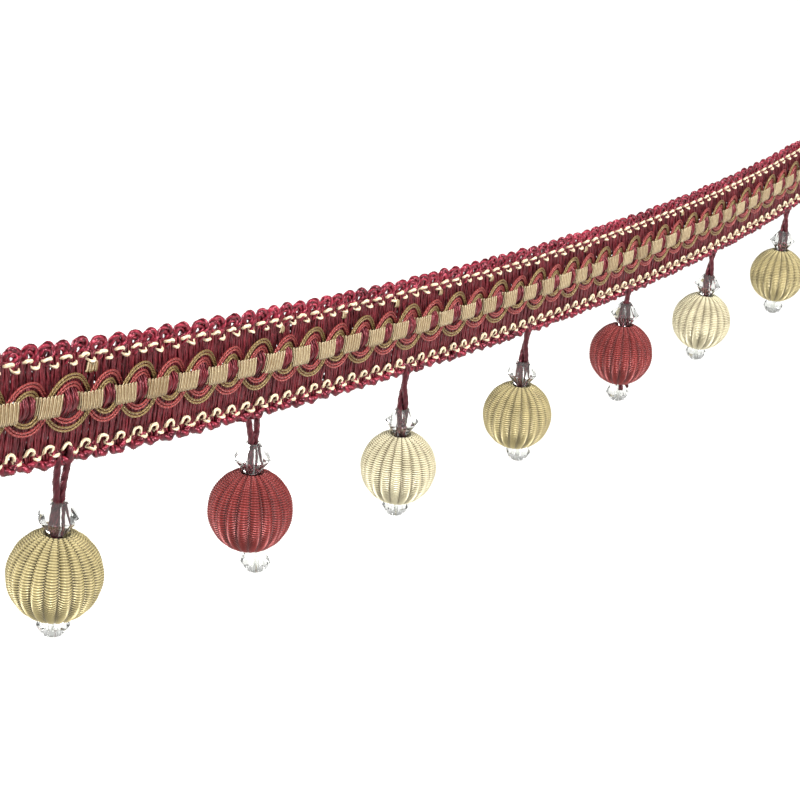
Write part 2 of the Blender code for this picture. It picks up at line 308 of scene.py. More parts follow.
class ColourSettings(bpy.types.PropertyGroup):
    burgundy: colour("Burgundy yarn", "#641E25", "Rayon yarn where the light falls")
    # The picot colour is the burgundy yarn painted lighter, as painted light on the edge loops.
    picot: colour("Picot yarn", "#842433", "The brighter yarn of the edge loops")
    burgundy_deep: colour("Burgundy shade", "#1A0606", "Rayon yarn in its grooves")
    cream: colour("Cream yarn", "#E8DCC0", "Crochet chains")
    cream_deep: colour("Cream shade", "#A07C50", "Crochet chains in their grooves")
    red: colour("Red gimp", "#A84E48", "Red gimp strands")
    red_deep: colour("Red gimp shade", "#4A1216", "Red gimp strands in their grooves")
    olive: colour("Olive gimp", "#9A8052", "Olive gimp strands")
    olive_deep: colour("Olive gimp shade", "#3A2810", "Olive strands in their grooves")
    beige: colour("Beige ribbon", "#DCCDA8", "Ribs of the squares")
    beige_deep: colour("Beige shade", "#5E4424", "Between the ribs of the squares")
    ball_olive: colour("Olive thread", "#A89B70", "Thread of the olive balls")
    ball_olive_deep: colour("Olive thread shade", "#2A200C", "Between its threads")
    ball_burgundy: colour("Burgundy thread", "#7A2D2A", "Thread of the burgundy balls")
    ball_burgundy_deep: colour("Burgundy thread shade", "#220506", "Between its threads")
    ball_cream: colour("Cream thread", "#C6BEA0", "Thread of the cream balls")
    ball_cream_deep: colour("Cream thread shade", "#4A3D22", "Between its threads")
    cord: colour("Hanging cord", "#46171D", "Doubled cord of the pendants")
    cord_deep: colour("Hanging cord shade", "#1C070A", "The cord in its grooves")
    # The acrylic's faint grey is painted shade on the beads.
    acrylic: colour("Clear acrylic", "#ECEDEA", "What light keeps on its way through a bead")
    floor: colour("Floor", "#D3D3D1", "Pale floor")


class StageSettings(bpy.types.PropertyGroup):
    drop: length("Floor below", 560.0, "From the heading's top edge to the floor")
    sun: FloatProperty(name="Sun", description="Its strength", default=4.4)
    top: FloatProperty(name="Top light", description="Its power", default=8.0, unit="POWER")
    sides: FloatProperty(
        name="Side lights", description="Power of each", default=40.0, unit="POWER"
    )
    horizon: FloatProperty(name="Low sky", description="Strength round the horizon", default=0.9)
    zenith: FloatProperty(name="High sky", description="Strength overhead", default=0.3)


def rise(x):
    """0 below 0, 1 above 1, and a smooth step between: three x squared less two x cubed."""
    x = np.clip(x, 0.0, 1.0)
    return x * x * (3 - 2 * x)


def unevenness(n):
    """How much taller or shorter than the rest the nth edge loop is, from -1 to 1."""
    return 0.6 * np.sin(2.4 * n) + 0.4 * np.sin(5.3 * n + 1)


def heading_line():
    """The line of squares: its slope is a cubic in s, and its run and height are the
    running sums of that slope's cosine and sine, from the middle."""
    s = np.linspace(-1.1 * HALF_LENGTH, 1.1 * HALF_LENGTH, 4001)
    slope = np.radians(sum(c * (s / 100) ** n for n, c in enumerate(LINE_SLOPES)))
    x = np.cumsum(np.cos(slope)) * (s[1] - s[0])
    z = np.cumsum(np.sin(slope)) * (s[1] - s[0])
    return s, x - np.interp(0, s, x), z - np.interp(0, s, z), slope


LINE = heading_line()


def on_heading(places):
    """Places s, y, v on the heading as points in metres: the point of the line at s, then
    v square to the line and y in depth, less the height of the top edge."""
    s, y, v = np.moveaxis(np.asarray(places, float), -1, 0)
    along, x, z, slope = LINE
    tilt = np.interp(s, along, slope)
    points = [
        np.interp(s, along, x) - v * np.sin(tilt),
        y,
        np.interp(s, along, z) + v * np.cos(tilt) - TOP_EDGE,
    ]
    return MM * np.stack(points, axis=-1)


def through(keys, steps):
    """A smooth path through key places (..., n, 3): between two keys it is the
    Catmull-Rom cubic of the four keys round them, in that many steps."""
    first = 2 * keys[..., :1, :] - keys[..., 1:2, :]
    last = 2 * keys[..., -1:, :] - keys[..., -2:-1, :]
    p = np.concatenate([first, keys, last], axis=-2)[..., None, :]
    a, b, c, d = p[..., :-3, :, :], p[..., 1:-2, :, :], p[..., 2:-1, :, :], p[..., 3:, :, :]
    t = (np.arange(steps) / steps)[:, None]
    cubic = 2 * b + (c - a) * t + (2 * a - 5 * b + 4 * c - d) * t**2
    cubic = 0.5 * (cubic + (3 * b - a - 3 * c + d) * t**3)
    cubic = cubic.reshape(*keys.shape[:-2], -1, 3)
    return np.concatenate([cubic, keys[..., -1:, :]], axis=-2)


def run(paths):
    """The distance from the start of each path to each of its points."""
    steps = np.linalg.norm(np.diff(paths, axis=-2), axis=-1)
    return np.concatenate([0 * steps[..., :1], np.cumsum(steps, axis=-1)], axis=-1)


def tubes(paths, radius, sides, side_on, ply=0.0, turns=0.0, phase=0.0, flat=1.0):
    """A tube round each of the paths (count, rows, 3). Its ring at a point is radius times
    (cosine, flat times sine) in the plane square to the path, less ply times the square
    of the sine, which makes two plies, and the ring turns by turns for each millimetre."""
    along = np.gradient(paths, axis=1)
    along /= np.linalg.norm(along, axis=-1, keepdims=True)
    side = np.cross(side_on, along)
    side /= np.linalg.norm(side, axis=-1, keepdims=True)
    out = np.cross(along, side)
    angle = TAU * np.arange(sides) / sides
    distance = run(paths)
    phase = np.broadcast_to(np.asarray(phase, float), (len(paths),))
    turned = angle + TAU * (turns * distance + phase[:, None])[..., None]
    radius = np.broadcast_to(np.asarray(radius, float), distance.shape)[..., None]
    lobed = radius * (1 - ply * np.sin(angle) ** 2)
    across = (lobed * np.cos(turned))[..., None] * side[:, :, None]
    deep = (flat * lobed * np.sin(turned))[..., None] * out[:, :, None]
    return paths[:, :, None] + across + deep, distance


def ring_mesh(name, rings, distance, tone, u_span=1.0, looped=False):
    """A mesh of rings of points (count, rows, sides, 3) in metres: quads between
    neighbouring rings, and a cap at each end unless the rings come round again. The UV
    map holds the share of the way round times u_span, and the distance along."""
    count, rows, sides, _ = rings.shape
    i, j = np.meshgrid(np.arange(rows if looped else rows - 1), np.arange(sides), indexing="ij")
    row = np.stack([i, i, i + 1, i + 1], axis=-1)
    column = np.stack([j, j + 1, j + 1, j], axis=-1)
    start = (np.arange(count) * rows * sides)[:, None, None, None]
    corners = (start + (row % rows) * sides + column % sides).reshape(-1, 4)
    u = np.broadcast_to(column / sides * u_span, (count, *column.shape))
    v = distance[:, row % rows]
    uv = np.stack([u, v], axis=-1).reshape(-1, 2)
    flat, starts = corners.ravel(), 4 * np.arange(len(corners))
    if not looped:
        ring = np.arange(sides)
        ends = np.stack([ring[::-1], (rows - 1) * sides + ring])
        caps = (start[:, 0] + ends).reshape(-1, sides)
        starts = np.append(starts, len(flat) + sides * np.arange(len(caps)))
        flat = np.append(flat, caps)
        cap_u = np.broadcast_to(ends % sides / sides * u_span, (count, 2, sides))
        cap_v = np.broadcast_to(distance[:, [0, -1]][..., None], (count, 2, sides))
        uv = np.append(uv, np.stack([cap_u, cap_v], axis=-1).reshape(-1, 2), axis=0)
    mesh = bpy.data.meshes.new(name)
    mesh.vertices.add(count * rows * sides)
    mesh.vertices.foreach_set("co", rings.astype(np.float32).ravel())
    mesh.loops.add(len(flat))
    mesh.polygons.add(len(starts))
    mesh.polygons.foreach_set("loop_start", starts.astype(np.int32))
    mesh.polygons.foreach_set("vertices", flat.astype(np.int32))
    mesh.update(calc_edges=True)
    mesh.uv_layers.new(name="UVMap").data.foreach_set("uv", uv.astype(np.float32).ravel())
    shade = mesh.attributes.new("tone", "FLOAT", "POINT")
    tone = np.broadcast_to(np.asarray(tone, float), (count,))
    shade.data.foreach_set("value", np.repeat(tone, rows * sides).astype(np.float32))
    mesh.shade_smooth()
    return mesh


def joined(name, meshes):
    """Several meshes as one, in their order."""
    things = [bpy.data.objects.new(mesh.name, mesh) for mesh in meshes]
    for thing in things:
        bpy.context.scene.collection.objects.link(thing)
    with bpy.context.temp_override(
        active_object=things[0],
        object=things[0],
        selected_objects=things,
        selected_editable_objects=things,
    ):
        bpy.ops.object.join()
    mesh = things[0].data
    mesh.name = name
    bpy.data.objects.remove(things[0])
    return mesh


def piece(name, mesh, material, slot, *nodes):
    """The mesh as a piece at the origin that rides on the one body."""
    made = bpy.data.objects.new(name, mesh)
    mesh.materials.clear()
    mesh.materials.append(material)
    bpy.context.scene.collection.objects.link(made)
    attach(made, "root")
    if nodes:
        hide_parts(*nodes)
    return made


def add(tree, kind, inputs=None, **settings):
    """Adds a node with its settings. inputs gives sockets, by name or number, a value or
    another node's output. Returns its first output."""
    made = tree.nodes.new(kind)
    for name, value in settings.items():
        setattr(made, name, value)
    for key, value in (inputs or {}).items():
        if isinstance(value, bpy.types.NodeSocket):
            tree.links.new(value, made.inputs[key])
        else:
            made.inputs[key].default_value = value
    return made.outputs[0] if made.outputs else made


def blank(name):
    """A new material with an empty tree and its output node."""
    made = bpy.data.materials.get(name) or bpy.data.materials.new(name)
    made.use_nodes = True
    made.node_tree.nodes.clear()
    return made, made.node_tree


def sums(tree, kind, *values):
    """A Math node of that kind on the values."""
    return add(tree, "ShaderNodeMath", dict(enumerate(values)), operation=kind)


def mixed(tree, share, low, high):
    """The colour between two colours at that share."""
    low, high = (c if isinstance(c, bpy.types.NodeSocket) else (*c, 1.0) for c in (low, high))
    made = tree.nodes.new("ShaderNodeMix")
    made.data_type = "RGBA"
    made.clamp_factor = True
    for key, value in ((0, share), (6, low), (7, high)):
        if isinstance(value, bpy.types.NodeSocket):
            tree.links.new(value, made.inputs[key])
        else:
            made.inputs[key].default_value = value
    return made.outputs[2]


def surface(tree, inputs):
    """The Principled shader with those inputs, on the material's output."""
    shader = add(tree, "ShaderNodeBsdfPrincipled", inputs)
    add(tree, "ShaderNodeOutputMaterial", {"Surface": shader})


def parts_of_uv(tree):
    """The two parts of the UV map: round the yarn in turns, and along it in millimetres."""
    uv = add(tree, "ShaderNodeUVMap", uv_map="UVMap")
    split = add(tree, "ShaderNodeSeparateXYZ", {0: uv}).node
    return split.outputs[0], split.outputs[1]


def yarn_finish(name, light, deep, filaments, slant, groove_shade, rough, streak=0.45):
    """Spun or gimped rayon: bundles of smooth filaments, with a gleam of its own colour.
    Painted highlights make fine bright lines along its lay, and its slubs' lighter
    stretches are partly painted highlight streaks; painted shade darkens the grooves
    between its plies. filaments is how many lines go round it, slant how many turns they
    make in a millimetre, and streak how much its lighter and darker stretches differ."""
    made, tree = blank(name)
    u, v = parts_of_uv(tree)
    turn = sums(tree, "MULTIPLY_ADD", u, float(filaments), sums(tree, "MULTIPLY", v, slant))
    line = sums(tree, "SINE", sums(tree, "MULTIPLY", turn, TAU))
    tone = add(tree, "ShaderNodeAttribute", attribute_name="tone").node.outputs["Fac"]
    lay = add(
        tree,
        "ShaderNodeCombineXYZ",
        {
            0: sums(tree, "MULTIPLY", turn, 1.9),
            1: sums(tree, "MULTIPLY", v, 1.1),
            2: sums(tree, "MULTIPLY", tone, 60.0),
        },
    )
    slub_and_streak_highlight = add(
        tree, "ShaderNodeTexNoise", {"Vector": lay, "Scale": 1.0, "Detail": 2.0, "Roughness": 0.6}
    )
    # Painted highlight: the fine lines along the lay are lighter in the base colour, like bright
    # filaments catching the light.
    share = sums(tree, "MULTIPLY_ADD", line, 0.14, 0.5 - streak)
    # The slubs' lighter and darker stretches are partly the yarn's own uneven tone and partly
    # painted highlight streaks along it.
    share = sums(tree, "MULTIPLY_ADD", slub_and_streak_highlight, 2 * streak, share)
    share = sums(tree, "ADD", share, tone)
    ply = sums(tree, "ABSOLUTE", sums(tree, "SINE", sums(tree, "MULTIPLY", u, TAU)))
    # Painted shade: the base colour darkens toward the deep colour in the grooves between the
    # plies.
    share = sums(tree, "MULTIPLY_ADD", sums(tree, "POWER", ply, 4.0), -groove_shade, share)
    height = sums(tree, "MULTIPLY_ADD", slub_and_streak_highlight, 2.0, line)
    bump = add(tree, "ShaderNodeBump", {"Height": height, "Strength": 0.8, "Distance": 0.08 * MM})
    gleam = tuple(0.12 + 0.88 * (c / max(light)) ** 0.7 for c in light)
    surface(
        tree,
        {
            "Base Color": mixed(tree, share, deep, light),
            "Roughness": rough,
            "Specular IOR Level": 0.7,
            "Specular Tint": (*gleam, 1.0),
            "Normal": bump,
        },
    )
    return made


def thread_finish(name, light, deep):
    """Floss wound over ribs: every thread passes over one rib and under the next, so
    the threads of neighbouring ribs lie half a thread apart and meet the valleys in a
    zigzag. Filament rayon gives it a satin gleam. Shade is painted into the base colour
    between the threads and in the valleys between the ribs, which draws the zigzag dark.
    The UV map counts ribs and threads, and past the last thread it is the wall of the
    bore, painted halfway to the deep colour as shade inside the bore."""
    made, tree = blank(name)
    u, v = parts_of_uv(tree)
    odd = sums(tree, "MODULO", sums(tree, "FLOOR", u), 2.0)
    rib = sums(tree, "ABSOLUTE", sums(tree, "SINE", sums(tree, "MULTIPLY", u, math.pi)))
    count = sums(tree, "MULTIPLY_ADD", odd, 0.5, v)
    count = sums(tree, "MULTIPLY_ADD", rib, THREAD_BOW, count)
    wave = sums(tree, "COSINE", sums(tree, "MULTIPLY", count, TAU))
    # Painted shade: the base colour is darkened between the threads, and most in the valleys
    # between the ribs, where shade falls.
    valley_shade = sums(tree, "POWER", sums(tree, "SUBTRACT", 1.0, rib), 1.6)
    between = sums(tree, "MULTIPLY_ADD", wave, -0.5, 0.5)
    wide = sums(tree, "MULTIPLY_ADD", valley_shade, -0.5, 0.58)
    dark = add(
        tree,
        "ShaderNodeMapRange",
        {"Value": between, "From Min": wide, "From Max": sums(tree, "ADD", wide, 0.4)},
    )
    weight = sums(tree, "MULTIPLY_ADD", valley_shade, 0.5, 0.5)
    place = add(tree, "ShaderNodeTexCoord").node.outputs["Object"]
    patch = add(
        tree,
        "ShaderNodeTexNoise",
        {"Vector": place, "Scale": 1 / (4 * MM), "Detail": 3.0},
    )
    share = sums(tree, "SUBTRACT", 0.9, sums(tree, "MULTIPLY", dark, weight))
    share = sums(tree, "MULTIPLY_ADD", valley_shade, -0.15, share)
    share = sums(tree, "ADD", share, sums(tree, "MULTIPLY_ADD", patch, 0.7, -0.35))
    threads = mixed(tree, share, deep, light)
    inside = sums(tree, "GREATER_THAN", v, THREAD_COUNT + 1.0)
    bump = add(
        tree,
        "ShaderNodeBump",
        {"Height": wave, "Strength": 0.8, "Distance": 0.12 * MM},
    )
    # Painted shade: the wall of the bore is coloured halfway to the deep colour, darker as shade
    # inside the bore.
    bore = tuple(0.5 * (a + b) for a, b in zip(light, deep))
    gleam = tuple(0.5 + 0.5 * c / max(light) for c in light)
    surface(
        tree,
        {
            "Base Color": mixed(tree, inside, threads, bore),
            "Roughness": 0.35,
            "Metallic": 0.25,
            "Specular IOR Level": 0.8,
            "Specular Tint": (*gleam, 1.0),
            "Anisotropic": 0.7,
            "Anisotropic Rotation": 0.25,
            "Tangent": add(tree, "ShaderNodeTangent", direction_type="UV_MAP", uv_map="UVMap"),
            "Normal": bump,
        },
    )
    return made


def acrylic_finish(tint):
    """Moulded clear acrylic, polished on its facets: IOR 1.49, with a little haze where the
    tumbling left its mark. Its faint grey tint is painted shade, which darkens the light
    through a bead like the darker edges and depths of a clear bead."""
    made, tree = blank("clear_moulded_acrylic")
    place = add(tree, "ShaderNodeTexCoord").node.outputs["Object"]
    haze = add(
        tree,
        "ShaderNodeTexNoise",
        {"Vector": place, "Scale": 1 / (1.5 * MM), "Detail": 2.0},
    )
    surface(
        tree,
        {
            "Base Color": (*tint, 1.0),
            "Roughness": sums(tree, "MULTIPLY_ADD", haze, 0.05, 0.0),
            "IOR": 1.49,
            "Transmission Weight": 0.97,
        },
    )
    return made


def floor_finish(tint):
    """A matt painted studio floor, even but for a very faint mottle."""
    made, tree = blank("matt_painted_floor")
    place = add(tree, "ShaderNodeTexCoord").node.outputs["Object"]
    mottle = add(tree, "ShaderNodeTexNoise", {"Vector": place, "Scale": 3.0})
    darker = tuple(0.985 * c for c in tint)
    surface(tree, {"Base Color": mixed(tree, mottle, darker, tint), "Roughness": 0.9})
    return made


def mm(group, name):
    """A length setting in millimetres."""
    return getattr(group, name) / MM


class FRINGE_OT_ground(bpy.types.Operator):
    """Weaves the ground: a row of burgundy yarns side by side, in eights between chain
    stitches, that rise over the ribbon in the gaps between its squares, and the binding
    threads across their backs"""

    bl_idname = "fringe.ground"
    bl_label = "Ground yarns"

    def execute(self, context):
        """Yarn i stands at s = (i + 1/2) pitches. Its depth is the ground's, plus a hump of
        cosine squared over the gap's middle, and a group of yarns parts from the next by
        the slit at their boundary, widest beside a chain. A stitch of the lower chain
        draws the yarns inside it to the back. Behind them the binding threads run along
        the heading, in and out by a sine, each the other way from the next."""
        settings, colours = context.scene.fringe_heading, context.scene.fringe_colours
        random = np.random.default_rng(11)
        count = YARNS_PER_LOOP * LOOP_COUNT
        number = np.arange(count)
        s0 = -HALF_LENGTH + LOOP_PITCH / YARNS_PER_LOOP * (number + 0.5)
        v = np.linspace(YARN_FROM, YARN_TO, 22)
        squares = slipped(FIRST_SQUARE + SQUARE_PITCH * np.arange(SQUARE_COUNT))
        gaps = (squares[:-1] + squares[1:]) / 2
        from_gap = np.abs(s0[:, None] - gaps).min(axis=1)
        in_gap = rise((2.6 - from_gap) / 0.6)
        hump = np.cos(math.pi / 2 * np.clip(v / GAP_HALF_HIGH, -1, 1)) ** 2
        layer = 0.14 * np.sin(2.1 * number) + 0.08 * np.sin(0.37 * number)
        slits = random.random((2, LOOP_COUNT + 1)) ** 12 * WIDEST_SLIT
        group, member = number // YARNS_PER_LOOP, number % YARNS_PER_LOOP
        lean = 1 - member / (YARNS_PER_LOOP - 1)
        push = slits[:, group] * lean - slits[:, group + 1] * (1 - lean)
        near_top = np.exp(-(((v - 7.0) / 1.7) ** 2))
        near_bottom = np.exp(-(((v + 8.0) / 1.7) ** 2))
        s = s0[:, None] + push[0][:, None] * near_top + push[1][:, None] * near_bottom
        slant = 0.04 * np.sin(0.31 * s0 / SQUARE_PITCH * TAU) + 0.05
        s -= slant[:, None] * np.clip(v, 0, 9)
        s += random.normal(0, 0.02, (count, 1))
        s += 0.04 * np.sin(0.7 * v + TAU * random.random((count, 1)))
        arches = -HALF_LENGTH + LOOP_PITCH * (np.arange(LOOP_COUNT + 1) + 0.5) + LOWER_SHIFT
        in_arch = rise((1.1 - np.abs(s0[:, None] - arches).min(axis=1)) / 0.4)
        y = GROUND_DEPTH + layer[:, None] + random.normal(0, 0.06, (count, 1)) + 0 * v
        y -= GAP_HUMP * in_gap[:, None] * hump + GROUND_BOW * np.cos(v / 9.5)
        y += ARCH_TUCK * in_arch[:, None] * np.exp(-(((v + 10.0) / 0.9) ** 2))
        paths = np.stack([s, y, np.broadcast_to(v, s.shape)], axis=-1)
        radius = mm(settings, "ground_yarn") / 2 * random.normal(1, 0.06, (count, 1))
        rings, distance = tubes(paths, radius, 6, FRONT, phase=random.random(count))
        tone = random.normal(0, 0.16, count)
        mesh = ring_mesh("ground_yarns", on_heading(rings), distance, tone)
        finish = yarn_finish(
            "burgundy_rayon_yarn",
            colours.burgundy,
            colours.burgundy_deep,
            filaments=2,
            slant=0.3,
            groove_shade=0.3,
            rough=0.36,
            streak=0.65,
        )
        piece("ground_yarns", mesh, finish, "burgundy_yarn", "ground_tape")
        s = np.linspace(-HALF_LENGTH, HALF_LENGTH, 211)
        height = np.linspace(BINDING_FROM, BINDING_TO, BINDING_COUNT)[:, None]
        turn = 3 * math.pi * s / LOOP_PITCH + math.pi * np.arange(BINDING_COUNT)[:, None]
        y = BINDING_DEPTH + BINDING_WEAVE * np.sin(turn)
        paths = np.stack([s + 0 * height, y, height + 0 * s], axis=-1)
        rings, distance = tubes(paths, BINDING_RADIUS, 6, FRONT, flat=0.5)
        mesh = ring_mesh("binding_threads", on_heading(rings), distance, -0.25)
        piece("binding_threads", mesh, finish, "burgundy_yarn")
        return {"FINISHED"}


class FRINGE_OT_edge_loops(bpy.types.Operator):
    """Turns the ground's yarn into round picots along the top edge, and into a row of
    leaning loops along the bottom edge"""

    bl_idname = "fringe.edge_loops"
    bl_label = "Edge loops"

    def execute(self, context):
        """Each loop is a smooth path through its key places, scaled about its root by its
        own width and height, with two plies that turn along it. A picot is two of them,
        the second smaller and further back."""
        settings, colours = context.scene.fringe_heading, context.scene.fringe_colours
        random = np.random.default_rng(23)
        number = np.arange(LOOP_COUNT)
        middle = -HALF_LENGTH + LOOP_PITCH * (number + 0.5)
        # The edge loops are the ground's yarn, and their picot colour is that yarn painted
        # lighter: painted light where the loops catch the light from above.
        finish = yarn_finish(
            "bright_burgundy_rayon_yarn",
            colours.picot,
            colours.burgundy_deep,
            filaments=3,
            slant=0.5,
            groove_shade=0.5,
            rough=0.3,
            streak=0.65,
        )
        radius = mm(settings, "picot_yarn") / 2
        tall = TOP_EDGE + 0.4 - TOP_ROOT - LOOP_UNEVEN * (0.5 - 0.5 * unevenness(number)) - radius
        wander = 0.9 * np.sin(middle / 11.5) + 0.6 * np.sin(middle / 5.3 + 1)
        wander *= rise((HALF_LENGTH - np.abs(middle)) / 12)
        place = middle + wander
        room = np.gradient(place) / LOOP_PITCH
        wide = room * (1.0 + 0.06 * unevenness(3 * number + 1))
        lean = random.normal(0, 0.09, LOOP_COUNT)
        coils = []
        for shrink, back in PICOT_COILS:
            v = TOP_ROOT + shrink * PICOT_KEYS[:, 2] * (tall / PICOT_KEYS[:, 2].max())[:, None]
            v = np.where(PICOT_KEYS[:, 2] < 0, TOP_ROOT + PICOT_KEYS[:, 2], v)
            s = place[:, None] + shrink * PICOT_KEYS[:, 0] * wide[:, None]
            s = s + lean[:, None] * (v - TOP_ROOT)
            y = PICOT_KEYS[:, 1] + back + random.normal(0, 0.12, (LOOP_COUNT, 1))
            coils.append(np.stack([s, y, v], axis=-1))
        paths = through(np.concatenate(coils), 3)
        twist = random.random(len(paths))
        rings, distance = tubes(paths, radius, 8, FRONT, ply=0.25, turns=0.3, phase=twist)
        # Painted light: the top loops are a little lighter in tone.
        tone = 0.05 + random.normal(0, 0.12, len(paths))
        mesh = ring_mesh("top_picots", on_heading(rings), distance, tone)
        picots = piece("top_picots", mesh, finish, "burgundy_yarn")
        radius = mm(settings, "loop_yarn") / 2
        drop = 0.25 * unevenness(2 * number + 5)
        width = 1.0 + 0.12 * unevenness(5 * number + 2)
        s = middle[:, None] + LOWER_SHIFT + BOTTOM_LOOP_KEYS[:, 0] * width[:, None]
        s += random.normal(0, 0.12, (LOOP_COUNT, 1))
        v = BOTTOM_LOOP_KEYS[:, 2] + drop[:, None] * rise((-10.5 - BOTTOM_LOOP_KEYS[:, 2]) / 2)
        paths = through(np.stack([s, BOTTOM_LOOP_KEYS[:, 1] + 0 * s, v], axis=-1), 3)
        row = np.linspace(-1, 1, paths.shape[1])
        radius = radius * (1 - 0.25 * row**2)
        twist = random.random(LOOP_COUNT)
        rings, distance = tubes(paths, radius, 10, FRONT, ply=0.3, turns=0.22, phase=twist)
        # Painted shade: the bottom loops are a little darker in tone than the top ones, being
        # lower and less lit.
        tone = -0.08 + random.normal(0, 0.1, LOOP_COUNT)
        mesh = ring_mesh("bottom_loops", on_heading(rings), distance, tone)
        loops = piece("bottom_loops", mesh, finish, "burgundy_yarn")
        return {"FINISHED"}


class FRINGE_OT_chains(bpy.types.Operator):
    """Crochets the cream chain along the inside of each edge"""

    bl_idname = "fringe.chains"
    bl_label = "Crochet chains"

    def execute(self, context):
        """One path for each chain: the key places of a stitch repeated at every pitch, each
        moved a little, with a smooth curve through them all. The yarn thins where it
        goes back between the others."""
        settings, colours = context.scene.fringe_heading, context.scene.fringe_colours
        finish = yarn_finish(
            "cream_crochet_rayon",
            colours.cream,
            colours.cream_deep,
            filaments=3,
            slant=0.9,
            groove_shade=0.2,
            rough=0.4,
            streak=0.3,
        )
        for seed, (name, stitch) in enumerate(STITCHES.items()):
            random = np.random.default_rng(41 + seed)
            middle = -HALF_LENGTH + LOOP_PITCH * (np.arange(LOOP_COUNT) + 0.5)
            if name == "chain_bottom":
                middle = middle + LOWER_SHIFT
            keys = np.array(stitch) + random.normal(0, 0.07, (LOOP_COUNT, len(stitch), 3))
            keys[:, :, 0] += middle[:, None]
            keys[:, :, 2] += random.normal(0, 0.09, (LOOP_COUNT, 1))
            keys = keys.reshape(1, -1, 3)
            keys = keys[:, np.abs(keys[0, :, 0]) < HALF_LENGTH]
            paths = through(keys, 2)
            radius = mm(settings, "chain_yarn") / 2 * np.clip(-paths[..., 1] / 1.8, 0.5, 1.0)
            rings, distance = tubes(paths, radius, 8, (0.0, -1.0, 0.12), ply=0.15, turns=0.16)
            mesh = ring_mesh(name, on_heading(rings), distance, 0.1)
            piece(f"{name}_crochet", mesh, finish, "cream_yarn", name)
        return {"FINISHED"}


def slipped(s):
    """Where the pattern's place s comes to lie: moved by the slip, which changes evenly
    from one of its given places to the next."""
    return s + np.interp(s, SLIP_PLACES, SLIPS)


def wave(s):
    """The first band's height at s: a sine two squares long plus a little of its third
    harmonic, which rounds the crowns."""
    turn = math.pi * (s - FIRST_SQUARE) / SQUARE_PITCH
    rounded = np.sin(turn) + WAVE_ROUNDNESS * np.sin(3 * turn)
    return WAVE_HEIGHT * rounded / (1 - WAVE_ROUNDNESS)


class FRINGE_OT_scroll(bpy.types.Operator):
    """Lays the scroll: two bands in opposite waves, each of a red and an olive gimp cord,
    and each cord of two strands"""

    bl_idname = "fringe.scroll"
    bl_label = "Gimp scroll"

    def execute(self, context):
        """A strand is the band's wave moved square to itself by its own offset. It dips
        under the other band by the cube of a share that is 1 at every second crossing
        and 0 at the crossings between."""
        settings, colours = context.scene.fringe_heading, context.scene.fringe_colours
        lay = {"filaments": 3, "slant": 1.1, "groove_shade": 0.35, "rough": 0.28}
        red = yarn_finish("red_gimp_strand", colours.red, colours.red_deep, **lay)
        olive = yarn_finish("olive_gimp_strand", colours.olive, colours.olive_deep, **lay)
        cords = (
            ("scroll_a_red", -1, RED_APART, red, "red_cord"),
            ("scroll_a_olive", -1, -OLIVE_APART, olive, "olive_cord"),
            ("scroll_b_olive", 1, OLIVE_APART, olive, "olive_cord"),
            ("scroll_b_red", 1, -RED_APART, red, "red_cord"),
        )
        s = np.linspace(-HALF_LENGTH, HALF_LENGTH, 673)
        small = 0.01
        for name, band, apart, finish, slot in cords:
            slope = band * (wave(s + small) - wave(s - small)) / (2 * small)
            lean = np.arctan(slope)
            under = (1 - band * np.cos(math.pi * (s - FIRST_SQUARE) / SQUARE_PITCH)) / 2
            offset = apart + mm(settings, "gimp_spread") * np.array([-0.5, 0.5])
            offset = offset[:, None] + 0.03 * np.sin(0.9 * s + np.array([[0], [2]]))
            y = BAND_DEPTH + CROSSING_DIP * under**3 + 0 * offset
            v = band * wave(s) + offset * np.cos(lean)
            places = [slipped(s) - offset * np.sin(lean), y, v]
            paths = np.stack(places, axis=-1)
            radius = mm(settings, "gimp_strand") / 2
            rings, distance = tubes(paths, radius, 6, FRONT)
            tone = 0.05 * np.array([1, -1])
            mesh = ring_mesh(name, on_heading(rings), distance, tone)
            piece(f"{name}_gimp", mesh, finish, slot, name)
        return {"FINISHED"}


def ribs(label, random, centre, wide, high, middle, count, radius, depth, sides=0):
    """Ribs of the ribbon over each centre, wide along the heading and high about the
    middle. Their path goes up and down as a cosine of the rib's number, cut off at both
    ends, and steps along by one rib mostly where it turns. The ribs past the edges go
    straight back as the sides, as many as sides says."""
    t = np.linspace(0.15 - sides, count + sides - 0.15, 8 * (count + 2 * sides) + 1)
    up = np.clip(1.25 * np.cos(math.pi * t), -1, 1)
    s = -wide / 2 + wide / count * (t + 0.14 * np.sin(TAU * t))
    beyond = np.maximum(np.abs(s) - wide / 2, 0)
    s -= 0.85 * np.sign(s) * beyond
    tilt = 0.06 * random.normal(0.3, 1, (len(centre), 1))
    v = -high / 2 * up * (1 + 0.05 * random.normal(0, 1, (len(centre), 1)))
    s = centre[:, None] + s + tilt * v
    y = depth + 0.2 * np.abs(up) ** 6 + 0.95 * beyond + 0 * s
    paths = np.stack([s, y, v + middle], axis=-1)
    rings, distance = tubes(paths, radius, 6, FRONT, flat=0.8)
    return ring_mesh(label, on_heading(rings), distance, random.normal(0.05, 0.05, len(centre)))


